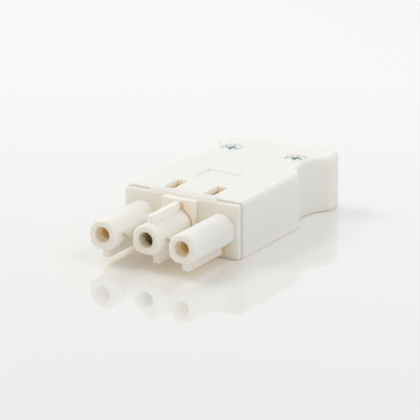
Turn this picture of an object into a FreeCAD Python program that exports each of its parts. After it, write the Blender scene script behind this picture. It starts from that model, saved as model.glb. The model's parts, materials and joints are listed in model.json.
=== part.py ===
import FreeCAD, Part
import math
import os

# Three-pole cable socket: a moulded sleeve, a contact carrier with three keyed tubes that snaps
# into it from the front, three screw terminals, and a cable clamp drawn up by two screws.
# Drawn in millimetres with +X across, +Y to the cable end and +Z up. While it is drawn, y = 0 is
# the front face of the flange and z = 0 is the surface it stands on.

# Poles and tubes
pole_axis_z = 6.8
tube_radius = 3.35
tube_corner = 2.2
tube_reach = 17.0
earth_setback = 1.6
collar_length = 3.0
tube_edge = 0.4
stem_flat = 0.15
notch_length = 6.4
notch_rise = 0.3
notch_wall = 0.45
pin_bore_radius = 1.8
pin_bore_depth = 2.0
pin_guide_radius = 1.55

# Keys on the tubes
key_setback = 1.7
top_key_width = 1.25
top_key_height = 11.85
low_key_width = 1.65
low_key_bottom = 1.35
low_key_gap = 1.1
earth_key_offset = 1.7

# Flange of the carrier
flange_reveal = 0.18
flange_bottom = 0.02
flange_drop = 0.55
flange_thickness = 1.45
flange_corner = 0.6
lip_width = 16.8
lip_drop = 0.02
lip_bevel = 0.5
centre_pad_width = 8.2
centre_pad_depth = 1.6
centre_pad_bottom = 0.6
centre_pad_drop = 0.1
relief_depth = 0.6
relief_gap = 0.2
key_relief_gap = 0.8
key_relief_drop = 0.3

# Sleeve
sleeve_width = 29.12
sleeve_height = 13.05
sleeve_length = 44.3
sleeve_wall = 1.45
floor_thickness = 1.4
roof_thickness = 1.45
top_edge_bevel = 0.45
bottom_edge_bevel = 0.3
front_chamfer = 0.15
seam = 0.05

# Waist and cable end of the sleeve
waist_start = 27.0
end_length = 4.3
waist_depth = 3.1
waist_edge_round = 0.55
end_corner = 0.65
rear_wall = 2.4
waist_wall = 1.3
cable_entry_radius = 4.2
cable_entry_lead = 0.6

# Roof of the sleeve
window_offset = 0.1
window_width = 2.75
window_start = 2.8
window_length = 6.5
thumb_width = 9.0
thumb_start = 10.6
thumb_end = 19.6
thumb_depth = 0.3

# Terminal block of the carrier
carrier_end = 21.5
carrier_clearance = 0.1
chamber_half_width = 2.4
chamber_side_wall = 0.61
chamber_front = 2.2
chamber_floor = 0.85
chamber_roof = 0.7
web_wall = 1.1
driver_hole_radius = 1.5

# Snap arms of the carrier
arm_thickness = 1.2
arm_drop = 1.0
arm_root = 14.0
arm_root_wall = 1.2
arm_slot = 0.45
hook_length = 2.2
hook_rise = 0.45
hook_play = 0.15
hook_side_play = 0.2

# Contacts
line_contact_depth = 5.5
earth_contact_depth = 2.2
socket_wall = 0.5
socket_radius = 2.05
socket_play = 0.08
socket_slot = 0.5
socket_slot_length = 8.0
contact_collar_play = 0.1
contact_collar_length = 1.2
tail_side_gap = 0.15
tail_thickness = 0.8
tail_drop = 0.5
tail_end = 18.5

# Clamp cages and their screws
cage_start = 12.0
cage_length = 4.5
cage_wall = 0.7
cage_plate = 1.4
cage_bevel = 0.5
cage_floor_gap = 0.45
cage_play = 0.1
terminal_screw_radius = 1.25
terminal_head_radius = 1.75
terminal_head_height = 0.82
terminal_head_play = 0.08
terminal_slot_width = 0.5
terminal_slot_depth = 0.5

# Cable clamp and its screws
clamp_screw_margin = 1.81
clamp_screw_setback = 4.7
clamp_screw_radius = 1.45
clamp_head_radius = 2.35
clamp_head_height = 1.45
clamp_head_bevel = 0.25
clamp_head_sunk = 0.08
clamp_head_play = 0.08
clamp_screw_tip = 1.9
cross_width = 0.7
cross_length = 3.1
cross_depth = 0.9
clamp_width = 4.8
clamp_height = 2.8
clamp_rest_gap = 0.1
clamp_end_gap = 0.15
clamp_saddle_radius = 6.5
clamp_saddle_floor = 1.25
clamp_edge = 0.4
boss_radius = 3.4
boss_floor = 1.1
grip_rib_height = 0.7
grip_rib_width = 0.8
grip_rib_spacing = 1.5
grip_rib_half_span = 4.2

running_play = 0.06
overlap = 0.2

# Places that follow from the sizes above: the sleeve
sleeve_front = flange_thickness + seam
sleeve_rear = sleeve_front + sleeve_length
roof_under = sleeve_height - roof_thickness
cavity_half = sleeve_width / 2 - sleeve_wall
cavity_rear = waist_start - sleeve_wall
rear_inner = sleeve_rear - rear_wall
waist_end = sleeve_rear - end_length
cable_entry_z = (floor_thickness + roof_under) / 2

# The carrier, which fills the front of the sleeve and covers its mouth
flange_width = sleeve_width - 2 * flange_reveal
flange_top = sleeve_height - flange_drop
lip_top = sleeve_height - lip_drop
centre_pad_top = flange_top - centre_pad_drop
carrier_half = cavity_half - carrier_clearance
carrier_bottom = floor_thickness + carrier_clearance
carrier_top = roof_under - carrier_clearance
chamber_bottom = carrier_bottom + chamber_floor
chamber_top = carrier_top - chamber_roof
pole_pitch = carrier_half - chamber_side_wall - chamber_half_width
stem_corner = tube_radius - stem_flat
web_slot_start = arm_root + arm_root_wall
window_middle = pole_pitch / 2 + window_offset
window_inner = window_middle - window_width / 2
arm_width = window_width - 2 * hook_side_play

# The terminals, stacked between the floor and the roof of their chambers
cage_middle = cage_start + cage_length / 2
cage_half_width = chamber_half_width - cage_play
contact_collar_radius = chamber_half_width - contact_collar_play
tail_half_width = cage_half_width - cage_wall - tail_side_gap
tail_top = pole_axis_z - tail_drop + tail_thickness / 2
tail_bottom = tail_top - tail_thickness
cage_opening = tail_bottom - cage_wall - cage_floor_gap - chamber_bottom
terminal_head_top = chamber_top - terminal_head_play
cage_travel = terminal_head_top - terminal_head_height - tail_top - cage_plate - 2 * cage_play

# The cable clamp, across the narrowest part of the waist
clamp_cavity_half = sleeve_width / 2 - waist_depth - waist_wall
clamp_screw_x = clamp_cavity_half - clamp_screw_margin
clamp_screw_y = waist_end - clamp_screw_setback

# The model is written with its middle at y = 0
centre_y = (sleeve_rear - tube_reach) / 2

poles = {"line": -pole_pitch, "earth": 0.0, "neutral": pole_pitch}
sides = {"left": -1, "right": 1}
inner_sides = {"line": (1,), "earth": (-1, 1), "neutral": (-1,)}


def block(x0, x1, y0, y1, z0, z1):
    return Part.makeBox(x1 - x0, y1 - y0, z1 - z0, FreeCAD.Vector(x0, y0, z0))


def rod_along_y(x, z, radius, y0, y1):
    return Part.makeCylinder(radius, y1 - y0, FreeCAD.Vector(x, y0, z), FreeCAD.Vector(0, 1, 0))


def rod_along_z(x, y, radius, z0, z1):
    return Part.makeCylinder(radius, z1 - z0, FreeCAD.Vector(x, y, z0), FreeCAD.Vector(0, 0, 1))


def prism(points, direction):
    # closed polygon swept along a vector
    wire = Part.makePolygon(points + points[:1])
    return Part.Face(wire).extrude(direction)


def flat_edges(shape, axis, value):
    # edges that lie wholly in the plane axis = value
    found = []
    for edge in shape.Edges:
        box = edge.BoundBox
        spans = {"y": (box.YMin, box.YMax), "z": (box.ZMin, box.ZMax)}
        low, high = spans[axis]
        if abs(low - value) < 1e-4 and abs(high - value) < 1e-4:
            found.append(edge)
    return found


def upright_edges(shape, x, y):
    # straight edges along Z that stand at (+x, y) and (-x, y)
    found = []
    for edge in shape.Edges:
        box = edge.BoundBox
        thin = box.XLength < 1e-4 and box.YLength < 1e-4
        if thin and abs(abs(box.XMin) - x) < 1e-4 and abs(box.YMin - y) < 1e-4:
            found.append(edge)
    return found


def lengthwise_edges(shape):
    # straight edges that run along Y
    return [e for e in shape.Edges if e.BoundBox.XLength < 1e-4 and e.BoundBox.ZLength < 1e-4]


def tube_face(x, y, left, right):
    # arched top; the lower corners are rounded by the left and the right radius
    def at(dx, dz):
        return FreeCAD.Vector(x + dx, y, pole_axis_z + dz)

    r = tube_radius
    edges = [Part.Arc(at(r, 0), at(0, r), at(-r, 0)).toShape(),
             Part.LineSegment(at(left - r, -r), at(r - right, -r)).toShape()]
    for sign, c in ((-1, left), (1, right)):
        bend = r - (1 - math.sqrt(0.5)) * c
        edges.append(Part.LineSegment(at(sign * r, 0), at(sign * r, c - r)).toShape())
        edges.append(Part.Arc(at(sign * r, c - r), at(sign * bend, -bend), at(sign * (r - c), -r)).toShape())
    return Part.Face(Part.Wire(Part.__sortEdges__(edges)))


def tube_notch(x, sign, start):
    # wedge cut up into the stem behind the collar, on a side that faces a neighbouring tube
    inner = x + sign * (socket_radius + socket_play + notch_wall)
    top = pole_axis_z + notch_rise
    low = pole_axis_z - tube_radius - overlap
    run = notch_length / (tube_radius + notch_rise)
    section = [(start, low), (start, top), (start + run * (top - low), low)]
    points = [FreeCAD.Vector(inner, y, z) for y, z in section]
    return prism(points, FreeCAD.Vector(sign * tube_radius, 0, 0))


def tube(pole):
    # collar in front; behind it the lower corners that face a neighbouring tube are rounder
    x = poles[pole]
    front = tube_front(pole)
    back = front + collar_length
    collar = tube_face(x, front, tube_corner, tube_corner).extrude(FreeCAD.Vector(0, collar_length, 0))
    collar = collar.makeChamfer(tube_edge, flat_edges(collar, "y", front))
    left, right = [stem_corner if sign in inner_sides[pole] else tube_corner for sign in (-1, 1)]
    stem = tube_face(x, back, left, right).extrude(FreeCAD.Vector(0, overlap - back, 0))
    stem = stem.cut([tube_notch(x, sign, back) for sign in inner_sides[pole]])
    return collar.fuse(stem)


def tube_front(pole):
    return -tube_reach + (earth_setback if pole == "earth" else 0.0)


def contact_front(pole):
    return tube_front(pole) + (earth_contact_depth if pole == "earth" else line_contact_depth)


def pin_bores(pole):
    # the earth socket stands close behind its opening; the others have a narrower guide before them
    x = poles[pole]
    front = tube_front(pole)
    metal = contact_front(pole) + overlap
    if pole == "earth":
        return [rod_along_y(x, pole_axis_z, pin_bore_radius, front - overlap, metal)]
    return [rod_along_y(x, pole_axis_z, pin_bore_radius, front - overlap, front + pin_bore_depth),
            rod_along_y(x, pole_axis_z, pin_guide_radius, front, metal)]


def tube_keys(pole):
    # upright plates along the tubes that admit only the matching plug; the bores are cut later
    x = poles[pole]
    front = tube_front(pole) + key_setback
    low = x + (earth_key_offset if pole == "earth" else 0.0)
    rear = relief_depth + overlap - centre_pad_depth if pole == "earth" else -low_key_gap
    keys = [block(low - low_key_width / 2, low + low_key_width / 2, front, rear,
                  low_key_bottom, pole_axis_z)]
    if pole == "earth":
        keys.append(block(-top_key_width / 2, top_key_width / 2, front, rear,
                          pole_axis_z, top_key_height))
    return keys


def pad_relief():
    # groove in the pad round the middle tube, widened on one side of its upper key
    front = -centre_pad_depth - overlap
    back = relief_depth - centre_pad_depth
    x = poles["earth"]
    return [rod_along_y(x, pole_axis_z, tube_radius + relief_gap, front, back),
            block(x, x + top_key_width / 2 + key_relief_gap, front, back,
                  pole_axis_z, top_key_height - key_relief_drop)]


def flange():
    plate = block(-flange_width / 2, flange_width / 2, 0, flange_thickness, flange_bottom, flange_top)
    plate = plate.makeFillet(flange_corner, lengthwise_edges(plate))
    pad = block(-centre_pad_width / 2, centre_pad_width / 2, -centre_pad_depth, overlap,
                centre_pad_bottom, centre_pad_top)
    pad = pad.cut(pad_relief())
    low = flange_top - lip_bevel
    half = FreeCAD.Vector(-lip_width / 2, 0, 0)
    section = [(0, low), (lip_bevel, lip_top), (flange_thickness, lip_top), (flange_thickness, low)]
    lip = prism([half + FreeCAD.Vector(0, y, z) for y, z in section], FreeCAD.Vector(lip_width, 0, 0))
    return plate.fuse([pad, lip])


def snap_arm(side):
    # springy arm rooted at the back, with a hook that stands in the roof window
    middle = sides[side] * window_middle
    top = carrier_top - arm_drop
    front = window_start + hook_play
    arm = block(middle - arm_width / 2, middle + arm_width / 2, front, arm_root + overlap,
                top - arm_thickness, top)
    peak = roof_under + hook_rise
    start = FreeCAD.Vector(middle - arm_width / 2, 0, 0)
    section = [(front, top - overlap), (front, peak), (front + hook_length / 3, peak),
               (front + hook_length, top), (front + hook_length, top - overlap)]
    hook = prism([start + FreeCAD.Vector(0, y, z) for y, z in section], FreeCAD.Vector(arm_width, 0, 0))
    return arm.fuse(hook)


def snap_pocket(side):
    # room round and under the arm, open at the top
    middle = sides[side] * window_middle
    reach = arm_width / 2 + arm_slot
    depth = carrier_top - arm_drop - arm_thickness - arm_drop
    return block(middle - reach, middle + reach, sleeve_front + seam, arm_root, depth, carrier_top + overlap)


def contact_carrier():
    terminal_block = block(-carrier_half, carrier_half, flange_thickness - overlap, carrier_end,
                           carrier_bottom, carrier_top)
    solids = [terminal_block]
    for pole in poles:
        solids.append(tube(pole))
        solids.extend(tube_keys(pole))
    body = flange().fuse(solids)
    cuts = []
    for pole, x in poles.items():
        cuts.extend(pin_bores(pole))
        cuts.append(rod_along_y(x, pole_axis_z, socket_radius + socket_play, contact_front(pole),
                                chamber_front + overlap))
        cuts.append(block(x - chamber_half_width, x + chamber_half_width, chamber_front,
                          carrier_end + overlap, chamber_bottom, chamber_top))
        cuts.append(rod_along_z(x, cage_middle, driver_hole_radius, chamber_top - overlap,
                                carrier_top + overlap))
    for side, sign in sides.items():
        web_x = sorted((sign * (chamber_half_width + web_wall),
                        sign * (pole_pitch - chamber_half_width - web_wall)))
        cuts.append(block(web_x[0], web_x[1], web_slot_start, carrier_end + overlap,
                          carrier_bottom - overlap, carrier_top + overlap))
        cuts.append(snap_pocket(side))
    body = body.cut(cuts)
    return body.fuse([snap_arm(side) for side in sides]).removeSplitter()


def sleeve_block():
    # plan outline with an arc waist on both sides, then bevelled edges
    half = sleeve_width / 2
    middle = (waist_start + waist_end) / 2

    def at(x, y):
        return FreeCAD.Vector(x, y, 0)

    edges = [Part.LineSegment(at(-half, sleeve_front), at(half, sleeve_front)).toShape(),
             Part.LineSegment(at(-half, sleeve_rear), at(half, sleeve_rear)).toShape()]
    for sign in sides.values():
        edges.append(Part.LineSegment(at(sign * half, sleeve_front), at(sign * half, waist_start)).toShape())
        edges.append(Part.Arc(at(sign * half, waist_start), at(sign * (half - waist_depth), middle),
                              at(sign * half, waist_end)).toShape())
        edges.append(Part.LineSegment(at(sign * half, waist_end), at(sign * half, sleeve_rear)).toShape())
    outline = Part.Wire(Part.__sortEdges__(edges))
    solid = Part.Face(outline).extrude(FreeCAD.Vector(0, 0, sleeve_height))
    solid = solid.makeFillet(end_corner, upright_edges(solid, half, sleeve_rear))
    bends = upright_edges(solid, half, waist_start) + upright_edges(solid, half, waist_end)
    solid = solid.makeFillet(waist_edge_round, bends)

    def rim(shape, z):
        return [e for e in flat_edges(shape, "z", z) if e.BoundBox.YMax > sleeve_front + overlap]

    solid = solid.makeChamfer(top_edge_bevel, rim(solid, sleeve_height))
    solid = solid.makeChamfer(bottom_edge_bevel, rim(solid, 0))
    return solid.makeChamfer(front_chamfer, flat_edges(solid, "y", sleeve_front))


def housing_sleeve():
    cuts = [block(-cavity_half, cavity_half, sleeve_front - overlap, cavity_rear,
                  floor_thickness, roof_under),
            block(-clamp_cavity_half, clamp_cavity_half, cavity_rear - overlap, rear_inner,
                  floor_thickness, roof_under),
            rod_along_y(0, cable_entry_z, cable_entry_radius, rear_inner - overlap, sleeve_rear + overlap),
            Part.makeCone(cable_entry_radius, cable_entry_radius + cable_entry_lead, cable_entry_lead,
                          FreeCAD.Vector(0, sleeve_rear - cable_entry_lead, cable_entry_z),
                          FreeCAD.Vector(0, 1, 0))]
    thumb = [(thumb_start, sleeve_height), (thumb_end, sleeve_height - thumb_depth),
             (thumb_end, sleeve_height + overlap), (thumb_start, sleeve_height + overlap)]
    edge = FreeCAD.Vector(-thumb_width / 2, 0, 0)
    cuts.append(prism([edge + FreeCAD.Vector(0, y, z) for y, z in thumb], FreeCAD.Vector(thumb_width, 0, 0)))
    for sign in sides.values():
        across = sorted((sign * window_inner, sign * (window_inner + window_width)))
        cuts.append(block(across[0], across[1], window_start, window_start + window_length,
                          roof_under - overlap, sleeve_height + overlap))
    body = sleeve_block().cut(cuts)

    seat = clamp_seat()
    added = []
    for sign in sides.values():
        boss = rod_along_z(sign * clamp_screw_x, clamp_screw_y, boss_radius, seat - boss_floor,
                           roof_under + overlap)
        room = block(-clamp_cavity_half - overlap, clamp_cavity_half + overlap, cavity_rear, rear_inner,
                     floor_thickness, sleeve_height)
        added.append(boss.common(room))
        added.append(grip_rib(sign))
    body = body.fuse(added)
    holes = []
    for sign in sides.values():
        x = sign * clamp_screw_x
        holes.append(rod_along_z(x, clamp_screw_y, clamp_head_radius + clamp_head_play, seat,
                                 sleeve_height + overlap))
        holes.append(rod_along_z(x, clamp_screw_y, clamp_screw_radius + running_play,
                                 seat - boss_floor - overlap, seat + overlap))
    return body.cut(holes).removeSplitter()


def clamp_seat():
    # height of the ledge that carries the heads of the clamp screws
    return sleeve_height - clamp_head_sunk - clamp_head_height


def grip_rib(sign):
    # cross rib under the roof that bites the cable against the clamp
    y = clamp_screw_y + sign * grip_rib_spacing
    half = grip_rib_width / 2
    section = [(y - half, roof_under + overlap), (y - half, roof_under), (y, roof_under - grip_rib_height),
               (y + half, roof_under), (y + half, roof_under + overlap)]
    edge = FreeCAD.Vector(-grip_rib_half_span, 0, 0)
    return prism([edge + FreeCAD.Vector(0, a, b) for a, b in section],
                 FreeCAD.Vector(2 * grip_rib_half_span, 0, 0))


def contact(pole):
    # turned brass socket, slotted so that it grips the pin, with a flat tail for the clamp
    x = poles[pole]
    front = contact_front(pole) + running_play
    collar_start = chamber_front + running_play
    collar_end = collar_start + contact_collar_length
    body = rod_along_y(x, pole_axis_z, socket_radius, front, collar_end)
    body = body.fuse([rod_along_y(x, pole_axis_z, contact_collar_radius, collar_start, collar_end),
                      block(x - tail_half_width, x + tail_half_width, collar_start, tail_end,
                            tail_bottom, tail_top)])
    slot_end = front + socket_slot_length
    half = socket_slot / 2
    reach = socket_radius + overlap
    cuts = [rod_along_y(x, pole_axis_z, socket_radius - socket_wall, front - overlap, collar_start),
            block(x - half, x + half, front - overlap, slot_end, pole_axis_z - reach, pole_axis_z + reach),
            block(x - reach, x + reach, front - overlap, slot_end, pole_axis_z - half, pole_axis_z + half)]
    return body.cut(cuts).removeSplitter()


def clamp_cage(pole):
    # folded steel loop round the tail; its thick top plate rides on the terminal screw
    x = poles[pole]
    plate_bottom = tail_top + cage_play
    bottom = tail_bottom - cage_opening - cage_wall
    body = block(x - cage_half_width, x + cage_half_width, cage_start, cage_start + cage_length,
                 bottom, plate_bottom + cage_plate)
    body = body.makeChamfer(cage_bevel, lengthwise_edges(body))
    inner = cage_half_width - cage_wall
    body = body.cut([block(x - inner, x + inner, cage_start - overlap, cage_start + cage_length + overlap,
                           bottom + cage_wall, plate_bottom),
                     rod_along_z(x, cage_middle, terminal_screw_radius + running_play,
                                 plate_bottom - overlap, plate_bottom + cage_plate + overlap)])
    return body.removeSplitter()


def terminal_screw(pole):
    # slotted screw whose tip stands on the tail and whose head is held under the chamber roof
    x = poles[pole]
    head_bottom = tail_top + cage_play + cage_plate + cage_travel + cage_play
    body = rod_along_z(x, cage_middle, terminal_screw_radius, tail_top + running_play, head_bottom + overlap)
    body = body.fuse(rod_along_z(x, cage_middle, terminal_head_radius, head_bottom, terminal_head_top))
    reach = terminal_head_radius + overlap
    half = terminal_slot_width / 2
    slot = block(x - reach, x + reach, cage_middle - half, cage_middle + half,
                 terminal_head_top - terminal_slot_depth, terminal_head_top + overlap)
    return body.cut(slot).removeSplitter()


def cable_clamp():
    # moulded bar that the two screws draw up against the cable
    half = clamp_cavity_half - clamp_end_gap
    bottom = floor_thickness + clamp_rest_gap
    top = bottom + clamp_height
    body = block(-half, half, clamp_screw_y - clamp_width / 2, clamp_screw_y + clamp_width / 2, bottom, top)
    body = body.makeChamfer(clamp_edge, flat_edges(body, "z", top))
    saddle_z = bottom + clamp_saddle_floor + clamp_saddle_radius
    cuts = [rod_along_y(0, saddle_z, clamp_saddle_radius, clamp_screw_y - clamp_width,
                        clamp_screw_y + clamp_width)]
    for sign in sides.values():
        cuts.append(rod_along_z(sign * clamp_screw_x, clamp_screw_y, clamp_screw_radius + running_play,
                                bottom - overlap, top + overlap))
    return body.cut(cuts).removeSplitter()


def clamp_screw(side):
    # flat-topped screw with a cross recess, its head sunk level with the roof
    x = sides[side] * clamp_screw_x
    seat = clamp_seat() + running_play
    top = clamp_seat() + clamp_head_height
    head = rod_along_z(x, clamp_screw_y, clamp_head_radius, seat, top)
    head = head.makeChamfer(clamp_head_bevel, flat_edges(head, "z", top))
    body = head.fuse(rod_along_z(x, clamp_screw_y, clamp_screw_radius, clamp_screw_tip, seat + overlap))
    arm = cross_length / 2
    half = cross_width / 2
    y = clamp_screw_y
    cross = [block(x - arm, x + arm, y - half, y + half, top - cross_depth, top + overlap),
             block(x - half, x + half, y - arm, y + arm, top - cross_depth, top + overlap)]
    return body.cut(cross).removeSplitter()


def write(name, shape):
    shape.translate(FreeCAD.Vector(0, -centre_y, 0))
    shape.exportStep("parts/" + name + ".step")
    print(name, len(shape.Solids), shape.isValid(), round(shape.Volume, 2))


os.makedirs("parts", exist_ok=True)
write("housing_sleeve", housing_sleeve())
write("contact_carrier", contact_carrier())
for name in poles:
    write("contact_" + name, contact(name))
    write("clamp_cage_" + name, clamp_cage(name))
    write("terminal_screw_" + name, terminal_screw(name))
write("cable_clamp", cable_clamp())
for name in sides:
    write("clamp_screw_" + name, clamp_screw(name))
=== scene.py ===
import json
import math

import bpy
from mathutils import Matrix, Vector

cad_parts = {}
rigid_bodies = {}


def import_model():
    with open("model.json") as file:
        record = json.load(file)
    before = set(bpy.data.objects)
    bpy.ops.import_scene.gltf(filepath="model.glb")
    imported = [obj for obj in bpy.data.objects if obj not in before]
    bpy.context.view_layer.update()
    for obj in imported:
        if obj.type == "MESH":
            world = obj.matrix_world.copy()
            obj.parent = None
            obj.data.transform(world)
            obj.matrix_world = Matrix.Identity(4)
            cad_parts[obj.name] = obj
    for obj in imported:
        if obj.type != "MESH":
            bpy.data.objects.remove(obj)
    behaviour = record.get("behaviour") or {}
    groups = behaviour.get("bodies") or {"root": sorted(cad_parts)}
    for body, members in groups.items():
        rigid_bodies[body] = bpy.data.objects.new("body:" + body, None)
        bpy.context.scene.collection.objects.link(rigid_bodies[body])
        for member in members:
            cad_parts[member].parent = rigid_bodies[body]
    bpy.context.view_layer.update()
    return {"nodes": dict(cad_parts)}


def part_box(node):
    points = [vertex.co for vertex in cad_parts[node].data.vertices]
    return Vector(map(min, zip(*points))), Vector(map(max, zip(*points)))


# Materials, studio and camera for a three-pin cable socket. Lengths are in metres, in the CAD frame.
MM = 0.001

# Camera, fitted to the photograph
CAMERA_AZIMUTH = 30.09
CAMERA_ELEVATION = 17.55
CAMERA_DISTANCE = 0.8708
CAMERA_TARGET = Vector((-1.276, 0.22, 5.219)) * MM
CAMERA_LENS = 335.07
CAMERA_SENSOR = 36.0
CAMERA_CLIP = (0.01, 20.0)

# Colours
IVORY = (0.940, 0.932, 0.900)
IVORY_WARM = (0.934, 0.920, 0.880)
# Painted light: a brighter base colour that makes folds glow
IVORY_PAINTED_FOLD_LIGHT = (0.984, 0.966, 0.920)
# Painted shade: a honey-brown base colour for deep hollows
IVORY_PAINTED_HOLLOW_SHADE = (1.000, 0.772, 0.492)
CLAMP_IVORY = (0.850, 0.838, 0.796)
CLAMP_WARM = (0.830, 0.806, 0.750)
BRASS = (0.780, 0.540, 0.230)
BRASS_DULL = (0.620, 0.410, 0.170)
NICKEL = (0.970, 0.915, 0.845)
NICKEL_DULL = (0.840, 0.775, 0.695)
ZINC = (0.870, 0.900, 0.892)
ZINC_DULL = (0.700, 0.755, 0.742)
STEEL = (0.600, 0.595, 0.580)
STEEL_DULL = (0.440, 0.430, 0.410)
FLOOR = (0.945, 0.955, 0.965)
# Painted shade: the table top's greyer colour towards the camera
FLOOR_NEAR_PAINTED_SHADE = (0.850, 0.862, 0.872)

# Plastic: cloudy colour, uneven sheen, fine grain, and how far light wanders in it
PLASTIC_IOR = 1.5
PLASTIC_CLOUD = 9 * MM
PLASTIC_SHEEN = 2.5 * MM
SHEEN_SPREAD = 0.05
PLASTIC_GRAIN = 0.16 * MM
PLASTIC_GRAIN_DEPTH = 0.004 * MM
PLASTIC_EDGE = 0.18 * MM
SCATTER_RADIUS = (1.0, 0.93, 0.84)
SCATTER_SCALE = 1.5 * MM
# Openness, from 0 in a deep hollow to 1 in the open, at which the painted hollow shade and painted fold
# light start and end
HOLLOW_REACH = 7 * MM
HOLLOW_SAMPLES = 12
PAINTED_SHADE_TO_LIGHT = (0.03, 0.42)
PAINTED_TINT_FADE = (0.02, 0.80)

# Turned contacts
TURNED_CLOUD = 1.6 * MM
TURNED_RING = 2.2 * MM
TURNED_DEPTH = 0.006 * MM
TURNED_EDGE = 0.05 * MM
TURNED_SPREAD = 0.06

# Plated screws
SCREW_CLOUD = 0.9 * MM
SCREW_RING = 1.6 * MM
SCREW_DEPTH = 0.006 * MM
SCREW_EDGE = 0.12 * MM
SCREW_ROUGHNESS = (0.20, 0.36)

# Pressed cages, with a grain drawn out along the sheet
SHEET_GRAIN = 0.25 * MM
SHEET_DRAW = (1.0, 0.08, 1.0)
SHEET_DEPTH = 0.004 * MM
SHEET_EDGE = 0.1 * MM
SHEET_ROUGHNESS = (0.28, 0.46)

# Studio: the world lights softly, warmer from the front, and looks white to the camera and in reflections
WORLD_FRONT = (0.768, 0.667, 0.506)
WORLD_BACK = (0.652, 0.674, 0.689)
WORLD_SEEN = (0.98, 0.98, 0.98)
WORLD_TURN = (0.1, -0.9)
FLOOR_SIZE = 6.0
FLOOR_SMEAR = 90 * MM
FLOOR_PAINTED_SHADE_FADE = (-0.25, 0.30)
FLOOR_ROUGHNESS = (0.004, 0.010)
FLOOR_IOR = 1.5
FLOOR_COAT = 0.4
FLOOR_COAT_ROUGHNESS = 0.005
LAMP_SIZE = 0.40
# Name, place, watts and colour
LAMPS = (
    ("left_lamp", Vector((-0.60, 0.0, 0.65)), 2.20, (1.0, 0.985, 0.975)),
    ("right_lamp", Vector((0.55, 0.05, 0.60)), 0.95, (0.97, 0.99, 1.0)),
)

# Light in a white hollow bounces more often than Blender's own limits count
DIFFUSE_BOUNCES = 10
GLOSSY_BOUNCES = 8

# Where a ramp between two colours starts and ends, and the part of a noise's range that is used
RAMP_ENDS = (0.32, 0.68)
NOISE_RANGE = (0.3, 0.7)
EDGE_SAMPLES = 6

# Sockets of a colour mix, which share their names with those for numbers
MIX_A, MIX_B, MIX_RESULT = 6, 7, 2


def node(tree, kind, **values):
    """A shader node with some of its inputs or properties set."""
    made = tree.nodes.new(kind)
    for key, value in values.items():
        if key in made.inputs:
            made.inputs[key].default_value = value
        else:
            setattr(made, key, value)
    return made


def new_material(name):
    """An empty node material and its output shader."""
    material = bpy.data.materials.new(name)
    material.use_nodes = True
    tree = material.node_tree
    tree.nodes.clear()
    shader = tree.nodes.new("ShaderNodeBsdfPrincipled")
    output = tree.nodes.new("ShaderNodeOutputMaterial")
    tree.links.new(shader.outputs["BSDF"], output.inputs["Surface"])
    return material, tree, shader


def object_space(tree, centre=(0.0, 0.0, 0.0)):
    """Object coordinates with the origin moved to a point."""
    where = tree.nodes.new("ShaderNodeTexCoord")
    shift = node(tree, "ShaderNodeVectorMath", operation="SUBTRACT")
    shift.inputs[1].default_value = centre
    tree.links.new(where.outputs["Object"], shift.inputs[0])
    return shift.outputs["Vector"]


def separate(tree, vector):
    """The X, Y and Z of a vector."""
    parts = tree.nodes.new("ShaderNodeSeparateXYZ")
    tree.links.new(vector, parts.inputs["Vector"])
    return parts.outputs


def noise(tree, vector, size, detail=2.0, roughness=0.5):
    """Noise whose blotches are about one size across."""
    made = node(tree, "ShaderNodeTexNoise", Scale=1.0 / size, Detail=detail, Roughness=roughness)
    tree.links.new(vector, made.inputs["Vector"])
    return made.outputs["Fac"]


def remap(tree, value, to, source=NOISE_RANGE):
    """A value spread from one range over another, and held at its ends."""
    made = node(tree, "ShaderNodeMapRange")
    for key, number in zip(("From Min", "From Max", "To Min", "To Max"), (*source, *to)):
        made.inputs[key].default_value = number
    tree.links.new(value, made.inputs["Value"])
    return made.outputs["Result"]


def two_colours(tree, value, first, second):
    """A colour ramp between two colours."""
    ramp = tree.nodes.new("ShaderNodeValToRGB")
    for element, position, colour in zip(ramp.color_ramp.elements, RAMP_ENDS, (first, second)):
        element.position = position
        element.color = (*colour, 1.0)
    tree.links.new(value, ramp.inputs["Fac"])
    return ramp.outputs["Color"]


def colour_mix(tree, factor):
    """A mix of two colours by a linked factor."""
    made = node(tree, "ShaderNodeMix", data_type="RGBA")
    tree.links.new(factor, made.inputs["Factor"])
    return made


def bumped(tree, height, depth, edge_radius):
    """A normal with a small relief on it and softened edges."""
    edge = node(tree, "ShaderNodeBevel", samples=EDGE_SAMPLES, Radius=edge_radius)
    bump = node(tree, "ShaderNodeBump", Strength=1.0, Distance=depth)
    tree.links.new(height, bump.inputs["Height"])
    tree.links.new(edge.outputs["Normal"], bump.inputs["Normal"])
    return bump.outputs["Normal"]


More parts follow.
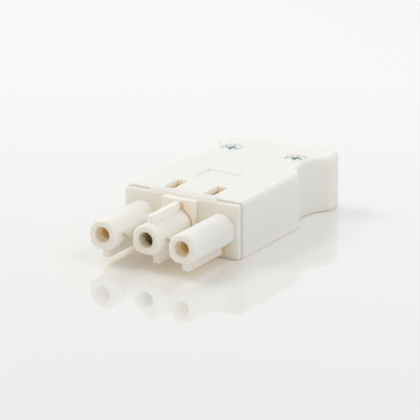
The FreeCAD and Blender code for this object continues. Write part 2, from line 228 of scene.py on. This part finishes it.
def moulded_plastic(name, colour, warm, roughness, scatter):
    """Fine-grained, a little translucent plastic, with painted light that makes its folds brighter and
    painted honey-brown shade in deep hollows, both set by ambient occlusion.
    """
    material, tree, shader = new_material(name)
    place = object_space(tree)
    cloud = noise(tree, place, PLASTIC_CLOUD, detail=3.0)
    hollow = node(tree, "ShaderNodeAmbientOcclusion", samples=HOLLOW_SAMPLES, Distance=HOLLOW_REACH)
    openness = hollow.outputs["AO"]
    # Painted shade and painted light: occlusion mixes the base colour to honey brown in deep hollows and to
    # a brighter colour in folds
    painted_fold_mix = remap(tree, openness, RAMP_ENDS, PAINTED_SHADE_TO_LIGHT)
    painted_hollow_tint = colour_mix(tree, remap(tree, openness, (1.0, 0.0), PAINTED_TINT_FADE))
    tree.links.new(two_colours(tree, cloud, colour, warm), painted_hollow_tint.inputs[MIX_A])
    tree.links.new(two_colours(tree, painted_fold_mix, IVORY_PAINTED_HOLLOW_SHADE, IVORY_PAINTED_FOLD_LIGHT), painted_hollow_tint.inputs[MIX_B])
    tree.links.new(painted_hollow_tint.outputs[MIX_RESULT], shader.inputs["Base Color"])
    sheen = noise(tree, place, PLASTIC_SHEEN, detail=4.0)
    gloss = remap(tree, sheen, (roughness - SHEEN_SPREAD, roughness + SHEEN_SPREAD))
    tree.links.new(gloss, shader.inputs["Roughness"])
    grain = noise(tree, place, PLASTIC_GRAIN, detail=2.0, roughness=0.6)
    tree.links.new(bumped(tree, grain, PLASTIC_GRAIN_DEPTH, PLASTIC_EDGE), shader.inputs["Normal"])
    shader.inputs["IOR"].default_value = PLASTIC_IOR
    shader.inputs["Subsurface Weight"].default_value = scatter
    shader.inputs["Subsurface Radius"].default_value = SCATTER_RADIUS
    shader.inputs["Subsurface Scale"].default_value = SCATTER_SCALE
    return material


def turned_metal(name, colour, dull, roughness):
    """Turned metal with fine rings along its axis and dull patches."""
    material, tree, shader = new_material(name)
    place = object_space(tree)
    cloud = noise(tree, place, TURNED_CLOUD, detail=4.0)
    tree.links.new(two_colours(tree, cloud, colour, dull), shader.inputs["Base Color"])
    rings = node(tree, "ShaderNodeTexWave", bands_direction="Y", Scale=1.0 / TURNED_RING, Distortion=0.6)
    tree.links.new(place, rings.inputs["Vector"])
    gloss = remap(tree, cloud, (roughness - TURNED_SPREAD, roughness + TURNED_SPREAD))
    tree.links.new(gloss, shader.inputs["Roughness"])
    tree.links.new(bumped(tree, rings.outputs["Fac"], TURNED_DEPTH, TURNED_EDGE), shader.inputs["Normal"])
    shader.inputs["Metallic"].default_value = 1.0
    return material


def plated_screw(name, centre):
    """Zinc-plated steel, with turning marks round the screw's own axis."""
    material, tree, shader = new_material(name)
    place = object_space(tree, centre)
    cloud = noise(tree, place, SCREW_CLOUD, detail=5.0)
    tree.links.new(two_colours(tree, cloud, ZINC, ZINC_DULL), shader.inputs["Base Color"])
    rings = node(tree, "ShaderNodeTexWave", wave_type="RINGS", rings_direction="Z", Scale=1.0 / SCREW_RING,
                 Distortion=0.8, Detail=2.0)
    tree.links.new(place, rings.inputs["Vector"])
    tree.links.new(remap(tree, cloud, SCREW_ROUGHNESS), shader.inputs["Roughness"])
    tree.links.new(bumped(tree, rings.outputs["Fac"], SCREW_DEPTH, SCREW_EDGE), shader.inputs["Normal"])
    shader.inputs["Metallic"].default_value = 1.0
    return material


def pressed_steel(name):
    """Folded sheet steel with a rolled grain."""
    material, tree, shader = new_material(name)
    stretch = node(tree, "ShaderNodeVectorMath", operation="MULTIPLY")
    stretch.inputs[1].default_value = SHEET_DRAW
    tree.links.new(object_space(tree), stretch.inputs[0])
    grain = noise(tree, stretch.outputs["Vector"], SHEET_GRAIN, detail=3.0)
    tree.links.new(two_colours(tree, grain, STEEL, STEEL_DULL), shader.inputs["Base Color"])
    tree.links.new(remap(tree, grain, SHEET_ROUGHNESS), shader.inputs["Roughness"])
    tree.links.new(bumped(tree, grain, SHEET_DEPTH, SHEET_EDGE), shader.inputs["Normal"])
    shader.inputs["Metallic"].default_value = 1.0
    return material


def dress(obj, material):
    """Gives a CAD node one material."""
    obj.data.materials.clear()
    obj.data.materials.append(material)


def seen_directly(tree):
    """1 for the camera, for reflections and through clear material, else 0."""
    path = tree.nodes.new("ShaderNodeLightPath")
    seen = node(tree, "ShaderNodeMath", operation="MAXIMUM")
    tree.links.new(path.outputs["Is Camera Ray"], seen.inputs[0])
    tree.links.new(path.outputs["Is Glossy Ray"], seen.inputs[1])
    through = node(tree, "ShaderNodeMath", operation="MAXIMUM")
    tree.links.new(seen.outputs["Value"], through.inputs[0])
    tree.links.new(path.outputs["Is Transmission Ray"], through.inputs[1])
    return through.outputs["Value"]


def surroundings():
    """The world round the object."""
    world = bpy.data.worlds.new("surroundings")
    bpy.context.scene.world = world
    world.use_nodes = True
    tree = world.node_tree
    tree.nodes.clear()
    where = tree.nodes.new("ShaderNodeTexCoord")
    forward = remap(tree, separate(tree, where.outputs["Generated"])["Y"], RAMP_ENDS, WORLD_TURN)
    shown = colour_mix(tree, seen_directly(tree))
    tree.links.new(two_colours(tree, forward, WORLD_BACK, WORLD_FRONT), shown.inputs[MIX_A])
    shown.inputs[MIX_B].default_value = (*WORLD_SEEN, 1.0)
    background = tree.nodes.new("ShaderNodeBackground")
    tree.links.new(shown.outputs[MIX_RESULT], background.inputs["Color"])
    output = tree.nodes.new("ShaderNodeOutputWorld")
    tree.links.new(background.outputs["Background"], output.inputs["Surface"])


def table():
    """A glossy pale table top, painted a little greyer towards the camera as painted shade where less light
    falls.
    """
    material, tree, shader = new_material("table_top")
    place = object_space(tree)
    # Painted shade: the table top's colour turns greyer towards the camera
    painted_shade_fade = remap(tree, separate(tree, place)["Y"], (0.0, 1.0), FLOOR_PAINTED_SHADE_FADE)
    tree.links.new(two_colours(tree, painted_shade_fade, FLOOR_NEAR_PAINTED_SHADE, FLOOR), shader.inputs["Base Color"])
    smear = noise(tree, place, FLOOR_SMEAR, detail=2.0)
    tree.links.new(remap(tree, smear, FLOOR_ROUGHNESS), shader.inputs["Roughness"])
    shader.inputs["IOR"].default_value = FLOOR_IOR
    shader.inputs["Coat Weight"].default_value = FLOOR_COAT
    shader.inputs["Coat Roughness"].default_value = FLOOR_COAT_ROUGHNESS
    bpy.ops.mesh.primitive_plane_add(size=FLOOR_SIZE)
    floor = bpy.context.object
    floor.name = "table_top"
    floor.data.materials.append(material)


def soft_lamp(name, place, power, colour):
    """A square area lamp that faces the object."""
    data = bpy.data.lights.new(name, "AREA")
    data.shape = "SQUARE"
    data.size = LAMP_SIZE
    data.energy = power
    data.color = colour
    lamp = bpy.data.objects.new(name, data)
    bpy.context.scene.collection.objects.link(lamp)
    lamp.location = place
    lamp.rotation_mode = "QUATERNION"
    lamp.rotation_quaternion = (CAMERA_TARGET - place).to_track_quat("-Z", "Y")


def camera():
    """The photograph's view."""
    data = bpy.data.cameras.new("camera")
    data.lens = CAMERA_LENS
    data.sensor_width = CAMERA_SENSOR
    data.clip_start, data.clip_end = CAMERA_CLIP
    cam = bpy.data.objects.new("camera", data)
    bpy.context.scene.collection.objects.link(cam)
    turn, rise = math.radians(CAMERA_AZIMUTH), math.radians(CAMERA_ELEVATION)
    back = Vector((math.sin(turn) * math.cos(rise), -math.cos(turn) * math.cos(rise), math.sin(rise)))
    cam.location = CAMERA_TARGET + CAMERA_DISTANCE * back
    cam.rotation_mode = "QUATERNION"
    cam.rotation_quaternion = (-back).to_track_quat("-Z", "Y")
    bpy.context.scene.camera = cam


for leftover in list(bpy.data.objects):
    bpy.data.objects.remove(leftover)
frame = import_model()

white = moulded_plastic("white_plastic", IVORY, IVORY_WARM, roughness=0.38, scatter=0.9)
clamp_white = moulded_plastic("clamp_plastic", CLAMP_IVORY, CLAMP_WARM, roughness=0.5, scatter=0.4)
brass = turned_metal("turned_brass", BRASS, BRASS_DULL, roughness=0.52)
nickel = turned_metal("plated_brass", NICKEL, NICKEL_DULL, roughness=0.28)
steel = pressed_steel("pressed_steel")
for name, obj in frame["nodes"].items():
    low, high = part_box(name)
    if "screw" in name:
        dress(obj, plated_screw(name + "_zinc", (low + high) / 2))
    elif name == "contact_earth":
        dress(obj, nickel)
    elif name in ("contact_line", "contact_neutral"):
        dress(obj, brass)
    elif name.startswith("clamp_cage_"):
        dress(obj, steel)
    elif name == "cable_clamp":
        dress(obj, clamp_white)
    else:
        dress(obj, white)

surroundings()
table()
for lamp_values in LAMPS:
    soft_lamp(*lamp_values)
camera()
bpy.context.scene.view_settings.view_transform = "Standard"
bpy.context.scene.cycles.diffuse_bounces = DIFFUSE_BOUNCES
bpy.context.scene.cycles.glossy_bounces = GLOSSY_BOUNCES
